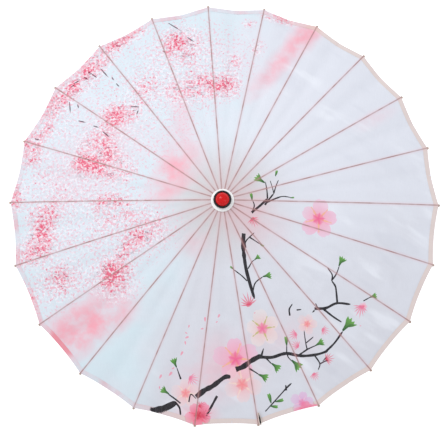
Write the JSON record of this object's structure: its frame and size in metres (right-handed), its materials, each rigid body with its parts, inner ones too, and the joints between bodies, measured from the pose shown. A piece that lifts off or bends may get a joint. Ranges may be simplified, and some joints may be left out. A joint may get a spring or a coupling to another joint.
{
  "type": "oil paper umbrella",
  "caption": "Wide shallow parasol of printed oiled cloth on slotted wooden ribs, folding down round a straight wooden shaft with a plain grip and a domed finial.",
  "frame": {"origin": "on the shaft's axis, where the straight wall of the grip starts, 3 mm above the grip's lower end", "axes": "+Z along the shaft towards the finial; the first rib points about 11 degrees from +X towards +Y"},
  "size_m": [0.813, 0.817, 0.5411],
  "materials": {
    "rib_wood": "fine straight grain, lightly varnished",
    "pale_wood": "satin varnish over straight grain",
    "hub_wood": "turned pale wood, satin",
    "steel_wire": "drawn wire",
    "catch_steel": "bent spring strip",
    "oiled_cloth": "thin oiled cloth with a printed blossom pattern, satin",
    "hem_cloth": "turned double hem of the same cloth",
    "thread": "twisted cotton thread",
    "white_cap": "smooth white, slightly worn",
    "black_ring": "glossy black",
    "red_dome": "glossy red"
  },
  "bodies": {
    "root": {"shaft": "pale_wood", "grip": "pale_wood", "top_hub": "hub_wood", "hub_wire": "steel_wire", "canopy": "oiled_cloth", "canopy_hem": "hem_cloth", "lacing_thread": "thread", "catch_pin": "steel_wire", "cap": "white_cap", "finial_ring": "black_ring", "finial_dome": "red_dome", "finial_screw": "steel_wire"},
    "rib_01": {"rib_01": "rib_wood"},
    "rib_02": {"rib_02": "rib_wood"},
    "rib_03": {"rib_03": "rib_wood"},
    "rib_04": {"rib_04": "rib_wood"},
    "rib_05": {"rib_05": "rib_wood"},
    "rib_06": {"rib_06": "rib_wood"},
    "rib_07": {"rib_07": "rib_wood"},
    "rib_08": {"rib_08": "rib_wood"},
    "rib_09": {"rib_09": "rib_wood"},
    "rib_10": {"rib_10": "rib_wood"},
    "rib_11": {"rib_11": "rib_wood"},
    "rib_12": {"rib_12": "rib_wood"},
    "rib_13": {"rib_13": "rib_wood"},
    "rib_14": {"rib_14": "rib_wood"},
    "rib_15": {"rib_15": "rib_wood"},
    "rib_16": {"rib_16": "rib_wood"},
    "rib_17": {"rib_17": "rib_wood"},
    "rib_18": {"rib_18": "rib_wood"},
    "rib_19": {"rib_19": "rib_wood"},
    "rib_20": {"rib_20": "rib_wood"},
    "rib_21": {"rib_21": "rib_wood"},
    "rib_22": {"rib_22": "rib_wood"},
    "stretcher_01": {"stretcher_01": "rib_wood"},
    "stretcher_02": {"stretcher_02": "rib_wood"},
    "stretcher_03": {"stretcher_03": "rib_wood"},
    "stretcher_04": {"stretcher_04": "rib_wood"},
    "stretcher_05": {"stretcher_05": "rib_wood"},
    "stretcher_06": {"stretcher_06": "rib_wood"},
    "stretcher_07": {"stretcher_07": "rib_wood"},
    "stretcher_08": {"stretcher_08": "rib_wood"},
    "stretcher_09": {"stretcher_09": "rib_wood"},
    "stretcher_10": {"stretcher_10": "rib_wood"},
    "stretcher_11": {"stretcher_11": "rib_wood"},
    "stretcher_12": {"stretcher_12": "rib_wood"},
    "stretcher_13": {"stretcher_13": "rib_wood"},
    "stretcher_14": {"stretcher_14": "rib_wood"},
    "stretcher_15": {"stretcher_15": "rib_wood"},
    "stretcher_16": {"stretcher_16": "rib_wood"},
    "stretcher_17": {"stretcher_17": "rib_wood"},
    "stretcher_18": {"stretcher_18": "rib_wood"},
    "stretcher_19": {"stretcher_19": "rib_wood"},
    "stretcher_20": {"stretcher_20": "rib_wood"},
    "stretcher_21": {"stretcher_21": "rib_wood"},
    "stretcher_22": {"stretcher_22": "rib_wood"},
    "runner": {"runner": "hub_wood", "runner_wire": "steel_wire"},
    "catch_lever": {"catch_lever": "catch_steel"}
  },
  "joints": [
    {"name": "fold", "type": "hinge", "parent": "root", "child": "rib_01", "pos_m": [0.01567, 0.00321, 0.515], "axis": [-0.2005, 0.9797, 0], "range_deg": [0, 69.5], "deforming": ["canopy", "canopy_hem", "lacing_thread", "catch_lever"]},
    {"name": "fold_02", "type": "hinge", "parent": "root", "child": "rib_02", "pos_m": [0.01423, 0.00731, 0.515], "axis": [-0.4566, 0.8897, 0], "range_deg": [0, 69.5]},
    {"name": "fold_03", "type": "hinge", "parent": "root", "child": "rib_03", "pos_m": [0.0118, 0.0108, 0.515], "axis": [-0.675, 0.7378, 0], "range_deg": [0, 69.5]},
    {"name": "fold_04", "type": "hinge", "parent": "root", "child": "rib_04", "pos_m": [0.00858, 0.0135, 0.515], "axis": [-0.8439, 0.5365, 0], "range_deg": [0, 69.5]},
    {"name": "fold_05", "type": "hinge", "parent": "root", "child": "rib_05", "pos_m": [0.00477, 0.01527, 0.515], "axis": [-0.9545, 0.2982, 0], "range_deg": [0, 69.5]},
    {"name": "fold_06", "type": "hinge", "parent": "root", "child": "rib_06", "pos_m": [0.00058, 0.01599, 0.515], "axis": [-0.9994, 0.036, 0], "range_deg": [0, 69.5]},
    {"name": "fold_07", "type": "hinge", "parent": "root", "child": "rib_07", "pos_m": [-0.00375, 0.01555, 0.515], "axis": [-0.9721, -0.2347, 0], "range_deg": [0, 69.5]},
    {"name": "fold_08", "type": "hinge", "parent": "root", "child": "rib_08", "pos_m": [-0.00792, 0.0139, 0.515], "axis": [-0.8689, -0.495, 0], "range_deg": [0, 69.5]},
    {"name": "fold_09", "type": "hinge", "parent": "root", "child": "rib_09", "pos_m": [-0.01155, 0.01107, 0.515], "axis": [-0.6918, -0.7221, 0], "range_deg": [0, 69.5]},
    {"name": "fold_10", "type": "hinge", "parent": "root", "child": "rib_10", "pos_m": [-0.01428, 0.00722, 0.515], "axis": [-0.4512, -0.8924, 0], "range_deg": [0, 69.5]},
    {"name": "fold_11", "type": "hinge", "parent": "root", "child": "rib_11", "pos_m": [-0.01578, 0.00267, 0.515], "axis": [-0.167, -0.986, 0], "range_deg": [0, 69.5]},
    {"name": "fold_12", "type": "hinge", "parent": "root", "child": "rib_12", "pos_m": [-0.01586, -0.00214, 0.515], "axis": [0.1338, -0.991, 0], "range_deg": [0, 69.5]},
    {"name": "fold_13", "type": "hinge", "parent": "root", "child": "rib_13", "pos_m": [-0.01451, -0.00675, 0.515], "axis": [0.4218, -0.9067, 0], "range_deg": [0, 69.5]},
    {"name": "fold_14", "type": "hinge", "parent": "root", "child": "rib_14", "pos_m": [-0.01188, -0.01072, 0.515], "axis": [0.6702, -0.7422, 0], "range_deg": [0, 69.5]},
    {"name": "fold_15", "type": "hinge", "parent": "root", "child": "rib_15", "pos_m": [-0.00823, -0.01372, 0.515], "axis": [0.8576, -0.5143, 0], "range_deg": [0, 69.5]},
    {"name": "fold_16", "type": "hinge", "parent": "root", "child": "rib_16", "pos_m": [-0.0039, -0.01552, 0.515], "axis": [0.9699, -0.2437, 0], "range_deg": [0, 69.5]},
    {"name": "fold_17", "type": "hinge", "parent": "root", "child": "rib_17", "pos_m": [0.00074, -0.01598, 0.515], "axis": [0.9989, 0.0465, 0], "range_deg": [0, 69.5]},
    {"name": "fold_18", "type": "hinge", "parent": "root", "child": "rib_18", "pos_m": [0.00532, -0.01509, 0.515], "axis": [0.9432, 0.3323, 0], "range_deg": [0, 69.5]},
    {"name": "fold_19", "type": "hinge", "parent": "root", "child": "rib_19", "pos_m": [0.00944, -0.01292, 0.515], "axis": [0.8076, 0.5897, 0], "range_deg": [0, 69.5]},
    {"name": "fold_20", "type": "hinge", "parent": "root", "child": "rib_20", "pos_m": [0.01275, -0.00967, 0.515], "axis": [0.6045, 0.7966, 0], "range_deg": [0, 69.5]},
    {"name": "fold_21", "type": "hinge", "parent": "root", "child": "rib_21", "pos_m": [0.01497, -0.00565, 0.515], "axis": [0.353, 0.9356, 0], "range_deg": [0, 69.5]},
    {"name": "fold_22", "type": "hinge", "parent": "root", "child": "rib_22", "pos_m": [0.01595, -0.00122, 0.515], "axis": [0.0765, 0.9971, 0], "range_deg": [0, 69.5]},
    {"name": "stretch_01", "type": "hinge", "parent": "rib_01", "child": "stretcher_01", "pos_m": [0.18993, 0.03888, 0.46062], "axis": [-0.2005, 0.9797, 0], "range_deg": [-139, 0]},
    {"name": "stretch_02", "type": "hinge", "parent": "rib_02", "child": "stretcher_02", "pos_m": [0.17248, 0.08852, 0.46062], "axis": [-0.4566, 0.8897, 0], "range_deg": [-139, 0]},
    {"name": "stretch_03", "type": "hinge", "parent": "rib_03", "child": "stretcher_03", "pos_m": [0.14304, 0.13087, 0.46062], "axis": [-0.675, 0.7378, 0], "range_deg": [-139, 0]},
    {"name": "stretch_04", "type": "hinge", "parent": "rib_04", "child": "stretcher_04", "pos_m": [0.104, 0.16362, 0.46062], "axis": [-0.8439, 0.5365, 0], "range_deg": [-139, 0]},
    {"name": "stretch_05", "type": "hinge", "parent": "rib_05", "child": "stretcher_05", "pos_m": [0.05781, 0.18505, 0.46062], "axis": [-0.9545, 0.2982, 0], "range_deg": [-139, 0]},
    {"name": "stretch_06", "type": "hinge", "parent": "rib_06", "child": "stretcher_06", "pos_m": [0.00699, 0.19375, 0.46062], "axis": [-0.9994, 0.036, 0], "range_deg": [-139, 0]},
    {"name": "stretch_07", "type": "hinge", "parent": "rib_07", "child": "stretcher_07", "pos_m": [-0.0455, 0.18846, 0.46062], "axis": [-0.9721, -0.2347, 0], "range_deg": [-139, 0]},
    {"name": "stretch_08", "type": "hinge", "parent": "rib_08", "child": "stretcher_08", "pos_m": [-0.09596, 0.16846, 0.46062], "axis": [-0.8689, -0.495, 0], "range_deg": [-139, 0]},
    {"name": "stretch_09", "type": "hinge", "parent": "rib_09", "child": "stretcher_09", "pos_m": [-0.13999, 0.13412, 0.46062], "axis": [-0.6918, -0.7221, 0], "range_deg": [-139, 0]},
    {"name": "stretch_10", "type": "hinge", "parent": "rib_10", "child": "stretcher_10", "pos_m": [-0.17302, 0.08747, 0.46062], "axis": [-0.4512, -0.8924, 0], "range_deg": [-139, 0]},
    {"name": "stretch_11", "type": "hinge", "parent": "rib_11", "child": "stretcher_11", "pos_m": [-0.19115, 0.03238, 0.46062], "axis": [-0.167, -0.986, 0], "range_deg": [-139, 0]},
    {"name": "stretch_12", "type": "hinge", "parent": "rib_12", "child": "stretcher_12", "pos_m": [-0.19213, -0.02594, 0.46062], "axis": [0.1338, -0.991, 0], "range_deg": [-139, 0]},
    {"name": "stretch_13", "type": "hinge", "parent": "rib_13", "child": "stretcher_13", "pos_m": [-0.17578, -0.08178, 0.46062], "axis": [0.4218, -0.9067, 0], "range_deg": [-139, 0]},
    {"name": "stretch_14", "type": "hinge", "parent": "rib_14", "child": "stretcher_14", "pos_m": [-0.1439, -0.12993, 0.46062], "axis": [0.6702, -0.7422, 0], "range_deg": [-139, 0]},
    {"name": "stretch_15", "type": "hinge", "parent": "rib_15", "child": "stretcher_15", "pos_m": [-0.0997, -0.16627, 0.46062], "axis": [0.8576, -0.5143, 0], "range_deg": [-139, 0]},
    {"name": "stretch_16", "type": "hinge", "parent": "rib_16", "child": "stretcher_16", "pos_m": [-0.04724, -0.18803, 0.46062], "axis": [0.9699, -0.2437, 0], "range_deg": [-139, 0]},
    {"name": "stretch_17", "type": "hinge", "parent": "rib_17", "child": "stretcher_17", "pos_m": [0.00902, -0.19366, 0.46062], "axis": [0.9989, 0.0465, 0], "range_deg": [-139, 0]},
    {"name": "stretch_18", "type": "hinge", "parent": "rib_18", "child": "stretcher_18", "pos_m": [0.06443, -0.18285, 0.46062], "axis": [0.9432, 0.3323, 0], "range_deg": [-139, 0]},
    {"name": "stretch_19", "type": "hinge", "parent": "rib_19", "child": "stretcher_19", "pos_m": [0.11433, -0.15658, 0.46062], "axis": [0.8076, 0.5897, 0], "range_deg": [-139, 0]},
    {"name": "stretch_20", "type": "hinge", "parent": "rib_20", "child": "stretcher_20", "pos_m": [0.15443, -0.11721, 0.46062], "axis": [0.6045, 0.7966, 0], "range_deg": [-139, 0]},
    {"name": "stretch_21", "type": "hinge", "parent": "rib_21", "child": "stretcher_21", "pos_m": [0.18139, -0.06843, 0.46062], "axis": [0.353, 0.9356, 0], "range_deg": [-139, 0]},
    {"name": "stretch_22", "type": "hinge", "parent": "rib_22", "child": "stretcher_22", "pos_m": [0.1933, -0.01483, 0.46062], "axis": [0.0765, 0.9971, 0], "range_deg": [-139, 0]},
    {"name": "runner_swivel", "type": "hinge", "parent": "stretcher_01", "child": "runner", "pos_m": [0.01567, 0.00321, 0.40624], "axis": [-0.2005, 0.9797, 0], "range_deg": [0, 69.5]},
    {"name": "catch_press", "type": "hinge", "parent": "root", "child": "catch_lever", "pos_m": [0.003, 0, 0.33624], "axis": [0, -1, 0], "range_deg": [0, 8.2], "stiffness_Nm_per_rad": 0.02}
  ],
  "couplings": [
    {"joint": "fold_02", "follows": "fold", "ratio": 1},
    {"joint": "fold_03", "follows": "fold", "ratio": 1},
    {"joint": "fold_04", "follows": "fold", "ratio": 1},
    {"joint": "fold_05", "follows": "fold", "ratio": 1},
    {"joint": "fold_06", "follows": "fold", "ratio": 1},
    {"joint": "fold_07", "follows": "fold", "ratio": 1},
    {"joint": "fold_08", "follows": "fold", "ratio": 1},
    {"joint": "fold_09", "follows": "fold", "ratio": 1},
    {"joint": "fold_10", "follows": "fold", "ratio": 1},
    {"joint": "fold_11", "follows": "fold", "ratio": 1},
    {"joint": "fold_12", "follows": "fold", "ratio": 1},
    {"joint": "fold_13", "follows": "fold", "ratio": 1},
    {"joint": "fold_14", "follows": "fold", "ratio": 1},
    {"joint": "fold_15", "follows": "fold", "ratio": 1},
    {"joint": "fold_16", "follows": "fold", "ratio": 1},
    {"joint": "fold_17", "follows": "fold", "ratio": 1},
    {"joint": "fold_18", "follows": "fold", "ratio": 1},
    {"joint": "fold_19", "follows": "fold", "ratio": 1},
    {"joint": "fold_20", "follows": "fold", "ratio": 1},
    {"joint": "fold_21", "follows": "fold", "ratio": 1},
    {"joint": "fold_22", "follows": "fold", "ratio": 1},
    {"joint": "stretch_01", "follows": "fold", "ratio": -2},
    {"joint": "stretch_02", "follows": "fold", "ratio": -2},
    {"joint": "stretch_03", "follows": "fold", "ratio": -2},
    {"joint": "stretch_04", "follows": "fold", "ratio": -2},
    {"joint": "stretch_05", "follows": "fold", "ratio": -2},
    {"joint": "stretch_06", "follows": "fold", "ratio": -2},
    {"joint": "stretch_07", "follows": "fold", "ratio": -2},
    {"joint": "stretch_08", "follows": "fold", "ratio": -2},
    {"joint": "stretch_09", "follows": "fold", "ratio": -2},
    {"joint": "stretch_10", "follows": "fold", "ratio": -2},
    {"joint": "stretch_11", "follows": "fold", "ratio": -2},
    {"joint": "stretch_12", "follows": "fold", "ratio": -2},
    {"joint": "stretch_13", "follows": "fold", "ratio": -2},
    {"joint": "stretch_14", "follows": "fold", "ratio": -2},
    {"joint": "stretch_15", "follows": "fold", "ratio": -2},
    {"joint": "stretch_16", "follows": "fold", "ratio": -2},
    {"joint": "stretch_17", "follows": "fold", "ratio": -2},
    {"joint": "stretch_18", "follows": "fold", "ratio": -2},
    {"joint": "stretch_19", "follows": "fold", "ratio": -2},
    {"joint": "stretch_20", "follows": "fold", "ratio": -2},
    {"joint": "stretch_21", "follows": "fold", "ratio": -2},
    {"joint": "stretch_22", "follows": "fold", "ratio": -2},
    {"joint": "runner_swivel", "follows": "fold", "ratio": 1}
  ]
}
